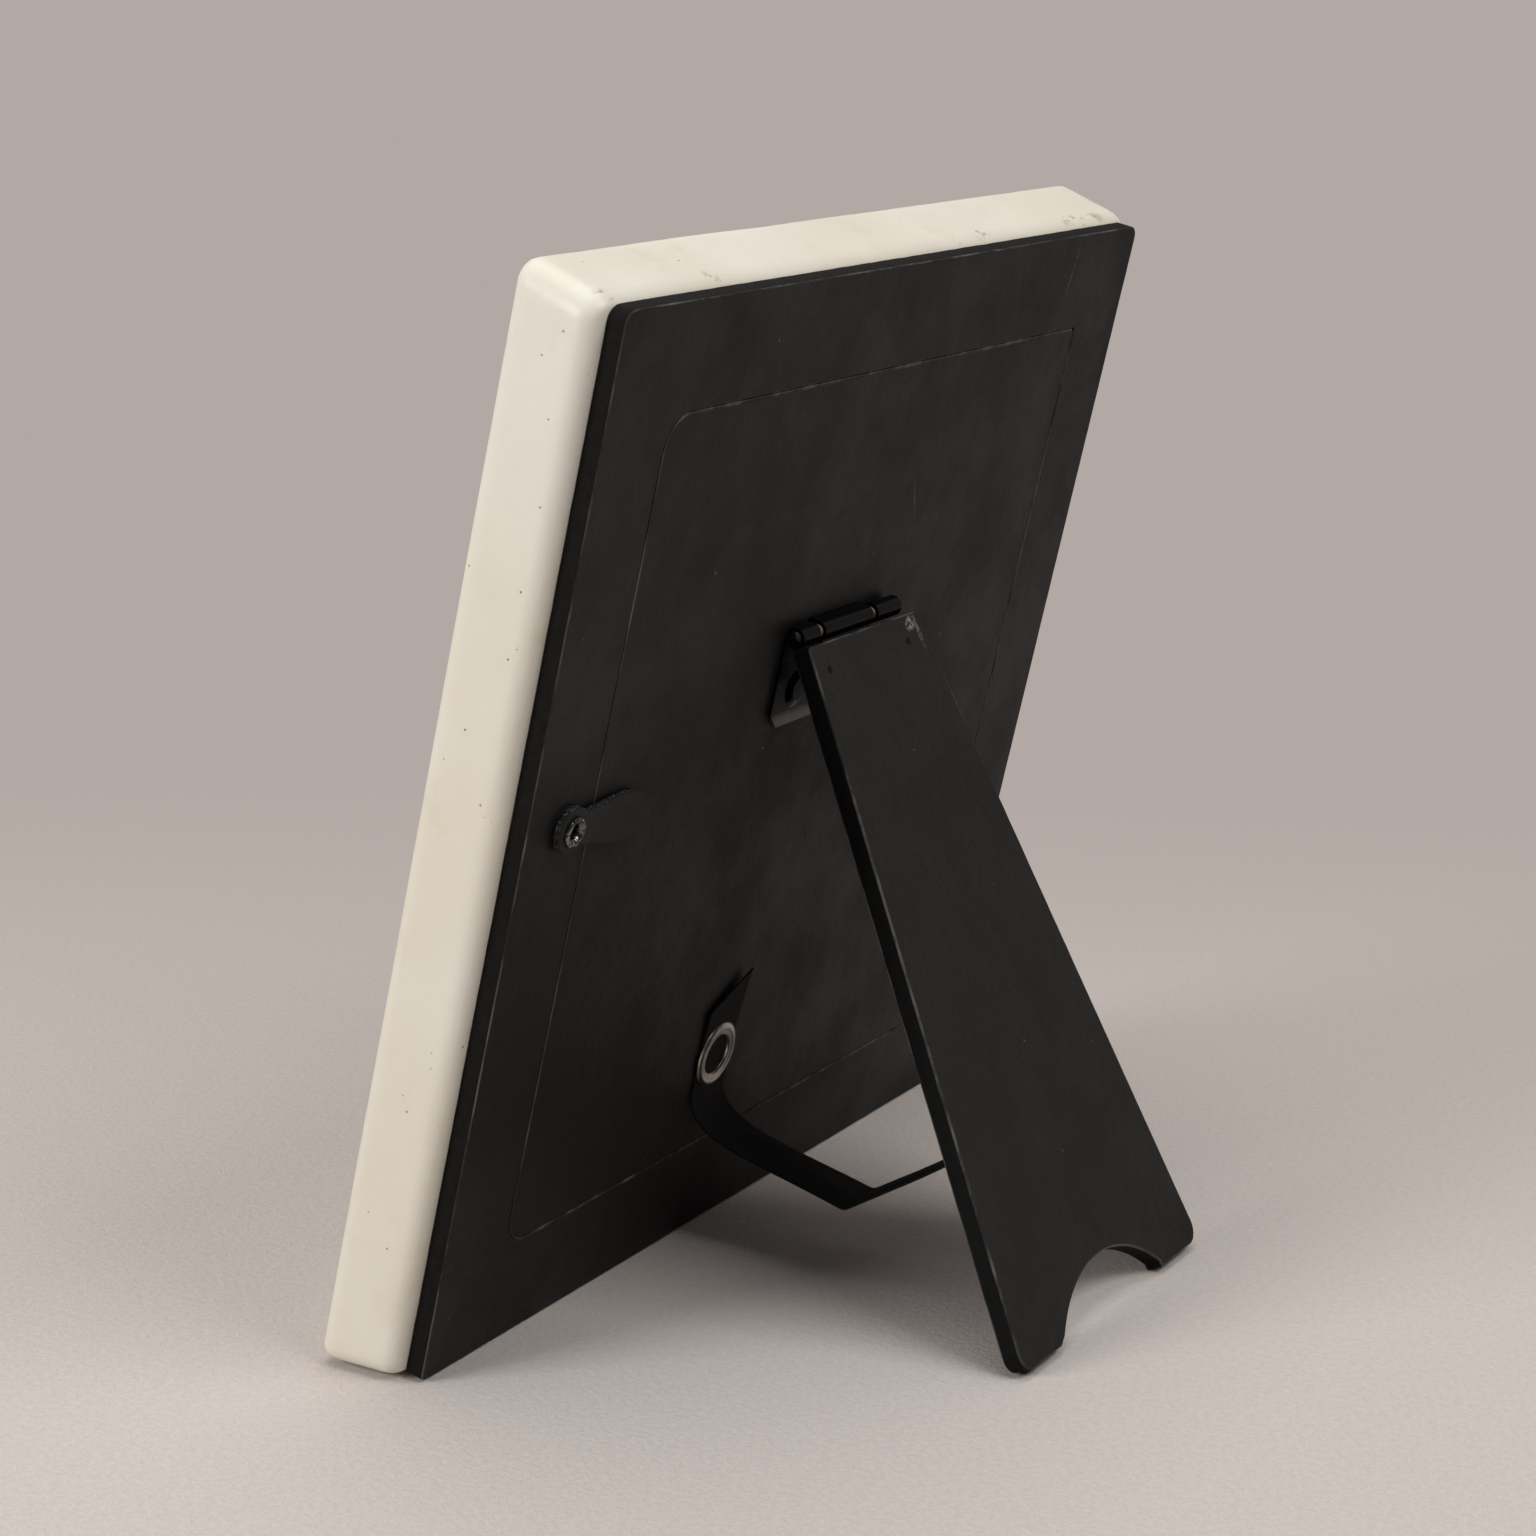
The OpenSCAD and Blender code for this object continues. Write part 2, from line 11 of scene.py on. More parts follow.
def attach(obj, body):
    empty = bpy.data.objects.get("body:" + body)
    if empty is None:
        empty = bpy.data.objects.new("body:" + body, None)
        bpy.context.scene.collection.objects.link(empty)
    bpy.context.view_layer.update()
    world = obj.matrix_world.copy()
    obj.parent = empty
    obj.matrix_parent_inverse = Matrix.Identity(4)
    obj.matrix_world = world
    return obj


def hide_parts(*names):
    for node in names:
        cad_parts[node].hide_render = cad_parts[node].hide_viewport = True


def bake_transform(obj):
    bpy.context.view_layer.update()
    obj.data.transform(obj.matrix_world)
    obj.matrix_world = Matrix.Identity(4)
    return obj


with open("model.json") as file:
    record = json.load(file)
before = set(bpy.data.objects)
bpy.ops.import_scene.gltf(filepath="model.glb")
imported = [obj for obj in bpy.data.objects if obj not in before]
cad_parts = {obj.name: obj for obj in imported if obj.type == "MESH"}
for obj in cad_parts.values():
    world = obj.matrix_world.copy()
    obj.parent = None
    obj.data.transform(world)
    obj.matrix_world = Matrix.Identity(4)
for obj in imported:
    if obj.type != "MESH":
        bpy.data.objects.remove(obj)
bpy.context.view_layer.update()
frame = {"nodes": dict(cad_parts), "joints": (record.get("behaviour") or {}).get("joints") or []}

MM = 0.001
scene = bpy.context.scene
joints = {j["name"]: j for j in frame["joints"]}


# ---------------------------------------------------------------- places taken from the frame

def node_span(node, place):
    """Lowest and highest corner of a CAD node, in the coordinates of a place."""
    back = place.inverted()
    points = [back @ v.co for v in frame["nodes"][node].data.vertices]
    low = Vector([min(p[i] for p in points) for i in range(3)])
    high = Vector([max(p[i] for p in points) for i in range(3)])
    return low, high


def turned(angle):
    return Matrix.Rotation(angle, 4, "X")


def middle_of(node):
    """The middle of a CAD node in board coordinates, as x and z."""
    low, high = node_span(node, BOARD)
    return (low.x + high.x) / 2, (low.z + high.z) / 2


# Board coordinates: x across, y out of the board's rear face, z up from its lower edge
button_axis = joints["button_turn"]["axis"]
LEAN = math.atan2(-button_axis[2], button_axis[1])
_low, _high = node_span("back_board", turned(-LEAN))
BOARD = turned(-LEAN) @ Matrix.Translation((0, _high.y, _low.z))

# Leg coordinates: z up the leg from the hinge pin, y out of its outer side
pin_at = Vector(joints["leg_hinge"]["pos_m"])
leg_face = max(frame["nodes"]["easel_leg"].data.polygons,
               key=lambda face: face.area * (face.normal.y > 0))
LEG_SLOPE = math.atan2(leg_face.normal.z, leg_face.normal.y)
LEG = Matrix.Translation(pin_at) @ turned(LEG_SLOPE)


# ---------------------------------------------------------------- camera, lights and stage

CAMERA_AZIMUTH = math.radians(119.55)   # 0 looks along +Y, from the picture's side
CAMERA_ELEVATION = math.radians(14.2)
CAMERA_ROLL = math.radians(1.57)
CAMERA_DISTANCE = 0.5646
CAMERA_TARGET = BOARD @ Vector((-0.0168, -0.0144, 0.0698))
CAMERA_LENS = 81.44
SENSOR_WIDTH = 36

ROOM = (0.445, 0.396, 0.372)            # warm grey of the backdrop
ROOM_LIGHT = 0.15                       # how much of it falls on the object from all round
LAMP_COLOUR = (1.0, 0.985, 0.965)

# Level direction from the object towards the camera
AWAY = Vector((math.sin(CAMERA_AZIMUTH), -math.cos(CAMERA_AZIMUTH), 0))


def add_camera():
    data = bpy.data.cameras.new("camera")
    data.lens = CAMERA_LENS
    data.sensor_width = SENSOR_WIDTH
    data.clip_start = 0.01
    a, e = CAMERA_AZIMUTH, CAMERA_ELEVATION
    back = Vector((math.sin(a) * math.cos(e), -math.cos(a) * math.cos(e), math.sin(e)))
    right = Vector((math.cos(a), math.sin(a), 0))
    up = back.cross(right)
    axes = Matrix((right, up, back)).transposed() @ Matrix.Rotation(CAMERA_ROLL, 3, "Z")
    camera = bpy.data.objects.new("camera", data)
    camera.matrix_world = Matrix.Translation(CAMERA_TARGET + back * CAMERA_DISTANCE) @ axes.to_4x4()
    scene.collection.objects.link(camera)
    scene.camera = camera


def add_area(name, place, target, size, power):
    """A rectangular lamp; size is its width and height in metres, power is in watts."""
    data = bpy.data.lights.new(name, "AREA")
    data.shape = "RECTANGLE"
    data.size, data.size_y = size
    data.energy = power
    data.color = LAMP_COLOUR
    light = bpy.data.objects.new(name, data)
    light.location = place
    light.rotation_euler = (Vector(target) - Vector(place)).to_track_quat("-Z", "Y").to_euler()
    scene.collection.objects.link(light)


def add_world():
    world = bpy.data.worlds.new("studio")
    world.use_nodes = True
    scene.world = world
    background = world.node_tree.nodes["Background"]
    background.inputs["Color"].default_value = (*ROOM, 1)
    background.inputs["Strength"].default_value = ROOM_LIGHT


scene.view_settings.view_transform = "Standard"
add_camera()
add_world()
add_area("right", place=(0.02, 0.53, 0.74), target=(0, 0.02, 0.03), size=(0.55, 0.4), power=3.6)
add_area("left", place=(0.80, -0.425, 0.42), target=(0, 0, 0.05), size=(0.4, 0.4), power=5.3)
add_area("overhead", place=(0.0, -0.10, 0.90), target=(0, -0.02, 0), size=(0.8, 0.5), power=3.2)


# ---------------------------------------------------------------- node helpers for materials

class Shader:
    """A material with a Principled shader and short calls for the nodes that feed it."""

    MIX_INPUTS = (0, 6, 7)              # a Mix node's factor and its two colours
    MIX_RESULT = 2                      # its colour result

    def __init__(self, name, colour=(0.5, 0.5, 0.5), roughness=0.5, metallic=0.0, **sockets):
        self.material = bpy.data.materials.new(name)
        self.material.use_nodes = True
        self.tree = self.material.node_tree
        self.shader = self.tree.nodes["Principled BSDF"]
        self.output = self.tree.nodes["Material Output"]
        self.set("Base Color", (*colour, 1))
        self.set("Roughness", roughness)
        self.set("Metallic", metallic)
        for socket, value in sockets.items():
            self.set(socket.replace("_", " "), value)
        self.place = self.node("ShaderNodeTexCoord").outputs["Object"]

    def node(self, kind, **fields):
        """A new node with its fields set."""
        made = self.tree.nodes.new(kind)
        for field, value in fields.items():
            setattr(made, field, value)
        return made

    def feed(self, made, values):
        """Gives a node's inputs their values, by link where the value is another socket."""
        for socket, value in values.items():
            if isinstance(value, bpy.types.NodeSocket):
                self.tree.links.new(value, made.inputs[socket])
            else:
                made.inputs[socket].default_value = value
        return made

    def set(self, socket, value):
        """Gives the Principled shader's socket a value or a link."""
        self.feed(self.shader, {socket: value})

    def noise(self, scale, detail=2.0, roughness=0.5, stretch=None):
        """Cloudy noise from 0 to 1, with about scale clouds to a metre."""
        place = self.place
        if stretch is not None:
            mapping = self.node("ShaderNodeMapping")
            self.feed(mapping, {"Vector": self.place, "Scale": stretch})
            place = mapping.outputs["Vector"]
        made = self.node("ShaderNodeTexNoise")
        self.feed(made, {"Vector": place, "Scale": scale, "Detail": detail,
                         "Roughness": roughness})
        return made.outputs["Fac"]

    def cells(self, scale):
        """Distance from the nearest of many scattered points."""
        made = self.node("ShaderNodeTexVoronoi")
        self.feed(made, {"Vector": self.place, "Scale": scale})
        return made.outputs["Distance"]

    def coordinates(self):
        """x, y and z of the point that is shaded."""
        split = self.node("ShaderNodeSeparateXYZ")
        return self.feed(split, {"Vector": self.place}).outputs

    def ramp(self, value, stops):
        """stops: (position, brightness) pairs, blended smoothly between them."""
        made = self.node("ShaderNodeValToRGB")
        made.color_ramp.interpolation = "EASE"
        elements = made.color_ramp.elements
        while len(elements) < len(stops):
            elements.new(0.5)
        for element, (position, level) in zip(elements, stops):
            element.position = position
            element.color = (level, level, level, 1)
        self.tree.links.new(value, made.inputs["Fac"])
        return made.outputs["Color"]

    def mix(self, factor, a, b):
        """The colour a where the factor is 0 and b where it is 1."""
        made = self.node("ShaderNodeMix", data_type="RGBA")
        colours = [c if isinstance(c, bpy.types.NodeSocket) else (*c, 1) for c in (a, b)]
        self.feed(made, dict(zip(self.MIX_INPUTS, (factor, *colours))))
        return made.outputs[self.MIX_RESULT]

    def math(self, operation, a, b):
        made = self.node("ShaderNodeMath", operation=operation)
        return self.feed(made, {0: a, 1: b}).outputs[0]

    def attribute(self, name):
        return self.node("ShaderNodeAttribute", attribute_name=name).outputs["Fac"]

    def mark(self, place, at, size, angle=0.0):
        """1 in the middle of an ellipsoid and 0 outside it; at and size are in a place's
        coordinates, and the angle turns it about the y axis there."""
        matrix = place @ Matrix.Translation(at) @ Matrix.Rotation(angle, 4, "Y")
        local = self.node("ShaderNodeMapping", vector_type="TEXTURE")
        self.feed(local, {"Vector": self.place, "Location": matrix.translation,
                          "Rotation": matrix.to_euler(), "Scale": size})
        far = self.node("ShaderNodeVectorMath", operation="LENGTH")
        self.feed(far, {0: local.outputs["Vector"]})
        return self.ramp(far.outputs["Value"], [(0.35, 1), (1.0, 0)])

    def bump(self, height, distance, under=None):
        """Relief of a height in metres, laid over an earlier relief if one is given."""
        made = self.node("ShaderNodeBump")
        values = {"Height": height, "Distance": distance}
        if under is not None:
            values["Normal"] = under
        self.feed(made, values)
        self.set("Normal", made.outputs["Normal"])
        return made.outputs["Normal"]


# ---------------------------------------------------------------- materials

def cream_lacquer():
    s = Shader("cream_lacquer", roughness=0.42, Specular_IOR_Level=0.45)
    broad = s.noise(22, 3)
    tone = s.mix(s.ramp(broad, [(0.35, 0), (0.7, 1)]),
                 (0.80, 0.772, 0.685), (0.755, 0.715, 0.605))
    stain = s.ramp(s.noise(75, 5, 0.7), [(0.52, 0), (0.75, 0.5)])
    tone = s.mix(stain, tone, (0.68, 0.63, 0.49))
    pits = s.ramp(s.cells(620), [(0.04, 1), (0.13, 0)])
    few = s.ramp(s.noise(160, 1), [(0.57, 0), (0.64, 1)])
    pits = s.math("MULTIPLY", pits, few)
    rear_corner = node_span("frame_body", BOARD)[1]
    edge_y = rear_corner.y - 1.2 * MM
    edge_z = node_span("back_board", BOARD)[1].z + 1.2 * MM
    flaked = s.ramp(s.noise(420, 4, 0.7), [(0.50, 0), (0.62, 1)])
    # Chipped stretches along the top rear edge: middle and half length
    for x, half in ((-67 * MM, 11 * MM), (-30 * MM, 4 * MM),
                    (rear_corner.x - 3.5 * MM, 2.2 * MM), (52 * MM, 2 * MM)):
        stretch = s.mark(BOARD, (x, edge_y, edge_z), (half, 2.2 * MM, 1.8 * MM))
        chips = s.math("MULTIPLY", stretch, flaked)
        tone = s.mix(s.math("MULTIPLY", chips, 0.85), tone, (0.36, 0.26, 0.15))
    tone = s.mix(s.math("MULTIPLY", pits, 0.8), tone, (0.30, 0.24, 0.16))
    s.set("Base Color", tone)
    s.set("Roughness", s.ramp(s.noise(60, 4), [(0.3, 0.36), (0.7, 0.5)]))
    relief = s.bump(s.noise(90, 4, 0.6), 0.22 * MM)
    s.bump(s.math("SUBTRACT", 1.0, pits), 0.18 * MM, under=relief)
    return s.material


def black_paper(name, low, high, dust=0.4, scuffs=()):
    """Matt black paper with a fine grain, a cloudy tone and dust specks. Each scuff is a
    place, where it is there, its half sizes, its angle and its strength."""
    s = Shader(name, roughness=0.6, Specular_IOR_Level=0.25)
    cloud = s.ramp(s.noise(35, 4, 0.6), [(0.3, 0), (0.7, 1)])
    tone = s.mix(cloud, low, high)
    grain = s.noise(1500, 3, 0.6)
    tone = s.mix(s.ramp(grain, [(0.35, 0), (0.75, 0.5)]), tone, tuple(c * 1.7 for c in high))
    specks = s.ramp(s.cells(260), [(0.035, 1), (0.07, 0)])
    few = s.ramp(s.noise(70, 2), [(0.56, 0), (0.66, 1)])
    specks = s.math("MULTIPLY", s.math("MULTIPLY", specks, few), dust)
    tone = s.mix(specks, tone, (0.32, 0.31, 0.29))
    broken = s.ramp(s.noise(1100, 3, 0.8), [(0.42, 0.05), (0.58, 1)])
    for place, at, size, angle, strength in scuffs:
        scuff = s.math("MULTIPLY", s.mark(place, at, size, angle), broken)
        tone = s.mix(s.math("MULTIPLY", scuff, strength), tone, (0.34, 0.33, 0.31))
    s.set("Base Color", tone)
    s.set("Roughness", s.ramp(s.noise(45, 5, 0.65), [(0.3, 0.5), (0.75, 0.68)]))
    s.bump(grain, 0.06 * MM, under=s.bump(s.noise(240, 3), 0.1 * MM))
    return s.material


def worn_edge(name, dark, light):
    """An edge rubbed grey in places."""
    s = Shader(name, roughness=0.65, Specular_IOR_Level=0.25)
    rubbed = s.ramp(s.noise(150, 5, 0.7, stretch=(1, 1, 0.35)), [(0.40, 0.0), (0.68, 1)])
    s.set("Base Color", s.mix(rubbed, dark, light))
    s.bump(s.noise(900, 3), 0.08 * MM)
    return s.material


def fibre_edge(name, low, high):
    """The rough cut side of fibreboard."""
    s = Shader(name, roughness=0.8, Specular_IOR_Level=0.15)
    layers = s.noise(700, 4, 0.7)
    s.set("Base Color", s.mix(s.ramp(layers, [(0.3, 0), (0.75, 1)]), low, high))
    s.bump(layers, 0.2 * MM)
    return s.material


def edge_with_painted_sparkle():
    """The rough, glossy cut edge of vulcanised fibre, with its sparkle painted as light crumbs in
    the base colour.
    """
    s = Shader("button_edge", roughness=0.25)
    crumbs_and_glints = s.noise(2200, 4, 0.8)
    # Painted glints: the light crumbs in the base colour stand in for the edge's sparkle; the bump
    # gives its real roughness.
    s.set("Base Color", s.mix(s.ramp(crumbs_and_glints, [(0.52, 0), (0.62, 1)]), (0.010, 0.010, 0.011),
                              (0.16, 0.16, 0.16)))
    s.bump(crumbs_and_glints, 0.6 * MM)
    return s.material


def metal(name, colour, roughness, dull=None):
    """Bare metal, with patches of a duller colour if one is given."""
    s = Shader(name, colour, roughness, metallic=1.0)
    patches = s.noise(300, 4, 0.6)
    s.set("Roughness", s.ramp(patches, [(0.3, roughness * 0.75), (0.75, roughness * 1.3)]))
    if dull is not None:
        s.set("Base Color", s.mix(s.ramp(patches, [(0.4, 0), (0.75, 1)]), colour, dull))
    s.bump(s.noise(900, 3), 0.04 * MM)
    return s.material


def black_enamel():
    """Thin black enamel with a painted reflection of the floor along the base plate's lower edge,
    where it is lighter and glossier.
    """
    low, high = node_span("hinge_base", BOARD)
    s = Shader("black_enamel", roughness=0.22)
    middle, wide, reflection_h = (low.x + high.x) / 2, 50 * MM, 2.7 * MM
    # Painted reflection: a lighter, more specular band at the plate's lower edge stands in for the
    # floor mirrored there.
    painted_reflection = s.mark(BOARD, (middle, high.y, low.z), (wide, wide, reflection_h))
    s.set("Base Color", s.mix(painted_reflection, (0.0022, 0.0022, 0.0023), (0.050, 0.043, 0.040)))
    s.set("Specular IOR Level", s.mix(painted_reflection, (0.05, 0.05, 0.05), (0.35, 0.35, 0.35)))
    s.set("Roughness", s.ramp(s.noise(300, 4), [(0.35, 0.14), (0.8, 0.3)]))
    return s.material


def ribbon_cloth():
    s = Shader("ribbon_cloth", roughness=0.8, Specular_IOR_Level=0.25)
    ribs = s.attribute("rib")
    s.set("Base Color", s.mix(ribs, (0.0030, 0.0030, 0.0031), (0.0052, 0.0052, 0.0053)))
    s.bump(s.math("ADD", ribs, s.math("MULTIPLY", s.noise(2500, 2), 0.4)), 0.03 * MM)
    return s.material


def clear_glass():
    s = Shader("clear_glass", (0.97, 0.985, 0.98), roughness=0.02, Transmission_Weight=1.0, IOR=1.5)
    s.set("Roughness", s.ramp(s.noise(40, 3), [(0.4, 0.01), (0.8, 0.05)]))
    return s.material


def printed_landscape():
    """A made-up view of hills under a pale sky, in soft bands."""
    s = Shader("printed_landscape", roughness=0.45)
    far_top, near_top = 58 * MM, 34 * MM    # heights of the two lines of hills
    wave = s.math("MULTIPLY", s.noise(14, 3), 0.05)
    height = s.math("SUBTRACT", s.coordinates()["Z"], wave)
    sky = s.mix(s.ramp(s.math("MULTIPLY", height, 6.0), [(0.35, 0), (0.85, 1)]),
                (0.62, 0.58, 0.50), (0.30, 0.42, 0.50))
    far = s.math("GREATER_THAN", far_top, height)
    ripple = s.math("MULTIPLY", s.noise(26, 2), 0.02)
    near = s.math("GREATER_THAN", near_top, s.math("ADD", height, ripple))
    tone = s.mix(far, sky, (0.20, 0.27, 0.22))
    s.set("Base Color", s.mix(near, tone, (0.10, 0.14, 0.08)))
    return s.material


def grey_card():
    s = Shader("grey_card", roughness=0.85)
    flecks = s.noise(500, 4, 0.7)
    s.set("Base Color", s.mix(s.ramp(flecks, [(0.35, 0), (0.7, 1)]), (0.36, 0.28, 0.18),
                              (0.46, 0.37, 0.26)))
    s.bump(flecks, 0.1 * MM)
    return s.material


CREAM = cream_lacquer()
SKIN = 2 * MM                           # half thickness of a scuff, across the face that it is on
BOARD_SCUFFS = [
    (BOARD, (-57.7 * MM, 0, 154.0 * MM), (0.16 * MM, SKIN, 6.2 * MM), math.radians(-10), 0.35),
    (BOARD, (-17.6 * MM, 0, 120.5 * MM), (0.16 * MM, SKIN, 7.0 * MM), math.radians(23), 0.30),
    (BOARD, (42.0 * MM, 0, 118.0 * MM), (0.6 * MM, SKIN, 0.4 * MM), 0.0, 0.5),
]
LEG_TOP = node_span("easel_leg", LEG)[1]
LEG_SCUFFS = [
    (LEG, (-14.2 * MM, LEG_TOP.y, LEG_TOP.z - 1.6 * MM), (2.4 * MM, SKIN, 1.3 * MM), 0.4, 0.8),
    (LEG, (-15.8 * MM, LEG_TOP.y, LEG_TOP.z - 3.6 * MM), (0.8 * MM, SKIN, 3.2 * MM), 0.1, 0.35),
]
PAPER = black_paper("cover_paper", (0.0034, 0.0034, 0.0033), (0.0062, 0.0061, 0.0059),
                    scuffs=BOARD_SCUFFS)
LEG_PAPER = black_paper("leg_paper", (0.0058, 0.0060, 0.0058), (0.0092, 0.0094, 0.0091),
                        dust=0.25, scuffs=LEG_SCUFFS)
FIBRE = fibre_edge("board_fibre", (0.0030, 0.0028, 0.0026), (0.0075, 0.0068, 0.0062))
LEG_FIBRE = fibre_edge("leg_fibre", (0.0018, 0.0018, 0.0018), (0.0042, 0.0041, 0.0040))
RUBBED = worn_edge("rubbed_edge", (0.013, 0.0124, 0.0116), (0.110, 0.104, 0.094))
CUT_LINE = worn_edge("cut_paper_edge", (0.022, 0.020, 0.018), (0.125, 0.113, 0.098))
BUTTON = black_paper("button_face", (0.0062, 0.0062, 0.0063), (0.0090, 0.0090, 0.0090),
                     dust=0.1)
BUTTON_EDGE = edge_with_painted_sparkle()
ENAMEL = black_enamel()
NICKEL = metal("dull_nickel", (0.42, 0.40, 0.37), 0.38, dull=(0.24, 0.225, 0.20))
BRIGHT = metal("rivet_steel", (0.22, 0.22, 0.215), 0.22, dull=(0.03, 0.03, 0.03))
# The pin is tan metal, made this bright as a painted glint where it shows in the knuckle gaps.
PIN_WITH_PAINTED_GLINT = metal("pin_steel_painted_glint", (0.80, 0.66, 0.50), 0.45)
STEEL = metal("plain_steel", (0.46, 0.42, 0.36), 0.30)
RIBBON = ribbon_cloth()
GLASS = clear_glass()
PRINT = printed_landscape()
CARD = grey_card()


# ---------------------------------------------------------------- mesh helpers

FINE_WELD = 0.0001 * MM                 # for meshes whose own points lie close together


def add_piece(name, points, faces, place, body, materials, replaces=()):
    """A mesh piece whose points are in the coordinates of a place. It moves with a body, or stays
    put when no body is given."""
    mesh = bpy.data.meshes.new(name)
    mesh.from_pydata([place @ Vector(p) for p in points], [], faces)
    mesh.validate()
    piece = bpy.data.objects.new(name, mesh)
    scene.collection.objects.link(piece)
    for material in materials:
        mesh.materials.append(material)
    mesh.polygons.foreach_set("use_smooth", [True] * len(mesh.polygons))
    if body is not None:
        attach(piece, body)
    if replaces:
        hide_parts(*replaces)
    return piece


def loft_faces(rings, count, closed=False):
    """Quads between rings of count points each; closed joins the last ring to the first."""
    faces = []
    for r in range(rings if closed else rings - 1):
        a, b = r * count, (r + 1) % rings * count
        for i in range(count):
            j = (i + 1) % count
            faces.append((a + i, a + j, b + j, b + i))
    return faces


def arc(centre, radius, start, end, steps):
    """Points round a centre, with the angles in degrees."""
    angles = [math.radians(start + (end - start) * i / steps) for i in range(steps + 1)]
    return [(centre[0] + radius * math.cos(a), centre[1] + radius * math.sin(a))
            for a in angles]


def round_corners(corners, radii, steps=6):
    """An outline with each corner rounded by its own radius."""
    outline = []
    for i, (corner, radius) in enumerate(zip(corners, radii)):
        p = Vector(corner)
        u = (Vector(corners[i - 1]) - p).normalized()
        v = (Vector(corners[(i + 1) % len(corners)]) - p).normalized()
        half = math.acos(max(-1, min(1, u.dot(v)))) / 2
        centre = p + (u + v).normalized() * radius / math.sin(half)
        start = p + u * radius / math.tan(half) - centre
        end = p + v * radius / math.tan(half) - centre
        first = math.atan2(start.y, start.x)
        sweep = (math.atan2(end.y, end.x) - first + 3 * math.pi) % (2 * math.pi) - math.pi
        for k in range(steps + 1):
            a = first + sweep * k / steps
            outline.append((centre.x + radius * math.cos(a), centre.y + radius * math.sin(a)))
    return outline


def circle(centre, radius):
    steps = 48
    return arc(centre, radius, 0, 360 - 360 / steps, steps - 1)


def subdivide(outline, step):
    """The same closed outline with points no further apart than step."""
    dense = []
    for i, point in enumerate(outline):
        a, b = Vector(point), Vector(outline[(i + 1) % len(outline)])
        count = max(1, math.ceil((b - a).length / step))
        dense += [tuple(a.lerp(b, k / count)) for k in range(count)]
    return dense


def roughen(outline, y, inward, least, *waves):
    """The outline cut back unevenly. inward gives a point's direction; the least cut and the
    height of each wave are in millimetres, and a wave's second number is its noise scale."""
    rough = []
    for x, z in outline:
        p = Vector((x, y, z))
        cut = least + sum(height * noise.noise(p * scale) for height, scale in waves)
        p += inward(p) * cut * MM
        rough.append((p.x, p.z))
    return rough


def plate_mesh(outlines, y0, y1, bevel):
    """Points and faces of a plate from y0 to y1 with rounded edges; outlines after the first
    are holes. The outlines are in x and z."""
    curve = bpy.data.curves.new("plate", "CURVE")
    curve.dimensions = "2D"
    curve.fill_mode = "BOTH"
    curve.extrude = (y1 - y0) / 2 - bevel
    curve.bevel_depth = bevel
    curve.bevel_resolution = 2
    curve.offset = -bevel
    for outline in outlines:
        spline = curve.splines.new("POLY")
        spline.points.add(len(outline) - 1)
        for point, (x, z) in zip(spline.points, outline):
            point.co = (x, z, 0, 1)
        spline.use_cyclic_u = True
    holder = bpy.data.objects.new("plate", curve)
    scene.collection.objects.link(holder)
    graph = bpy.context.evaluated_depsgraph_get()
    mesh = bpy.data.meshes.new_from_object(holder.evaluated_get(graph))
    middle = (y0 + y1) / 2
    points = [(v.co.x, middle - v.co.z, v.co.y) for v in mesh.vertices]
    faces = [tuple(p.vertices) for p in mesh.polygons]
    bpy.data.objects.remove(holder)
    bpy.data.curves.remove(curve)
    bpy.data.meshes.remove(mesh)
    return points, faces


def add_plate(name, outlines, y0, y1, bevel, place, body, materials, replaces):
    """A plate whose three materials are for its faces, its cut sides and its rounded edges."""
    points, faces = plate_mesh(outlines, y0, y1, bevel)
    piece = add_piece(name, points, faces, place, body, materials, replaces)
    weld(piece)
    face, cut_side, rounded = 0, 1, 2
    out = (place.to_3x3() @ Vector((0, 1, 0))).normalized()
    for polygon in piece.data.polygons:
        lift = abs(polygon.normal.dot(out))
        flat = lift > 0.99
        polygon.material_index = face if flat else cut_side if lift < 0.2 else rounded
        polygon.use_smooth = lift < 0.99


def weld(piece, distance=0.002 * MM):
    """Joins points that lie on each other and turns the faces outwards."""
    edit = bmesh.new()
    edit.from_mesh(piece.data)
    bmesh.ops.remove_doubles(edit, verts=edit.verts, dist=distance)
    bmesh.ops.recalc_face_normals(edit, faces=edit.faces)
    edit.to_mesh(piece.data)
    edit.free()


def add_turned(name, profile, at, material, replaces, wobble, steps):
    """A closed profile of (radius, y) turned about an axis square to the board. wobble takes a
    profile point's radius, y, angle and number, and gives its real radius and y."""
    points = []
    centre = Vector((at[0], 0, at[1]))
    for i in range(steps):
        a = 2 * math.pi * i / steps
        for k, (radius, y) in enumerate(profile):
            r, h = wobble(radius, y, a, k)
            points.append(Vector((r * math.cos(a), h, r * math.sin(a))) + centre)
    faces = loft_faces(steps, len(profile), closed=True)
    weld(add_piece(name, points, faces, BOARD, "frame", [material], replaces))


def use_material(node, material):
    """Gives a carried-over CAD node its material."""
    materials = frame["nodes"][node].data.materials
    materials.clear()
    materials.append(material)


# ---------------------------------------------------------------- stage

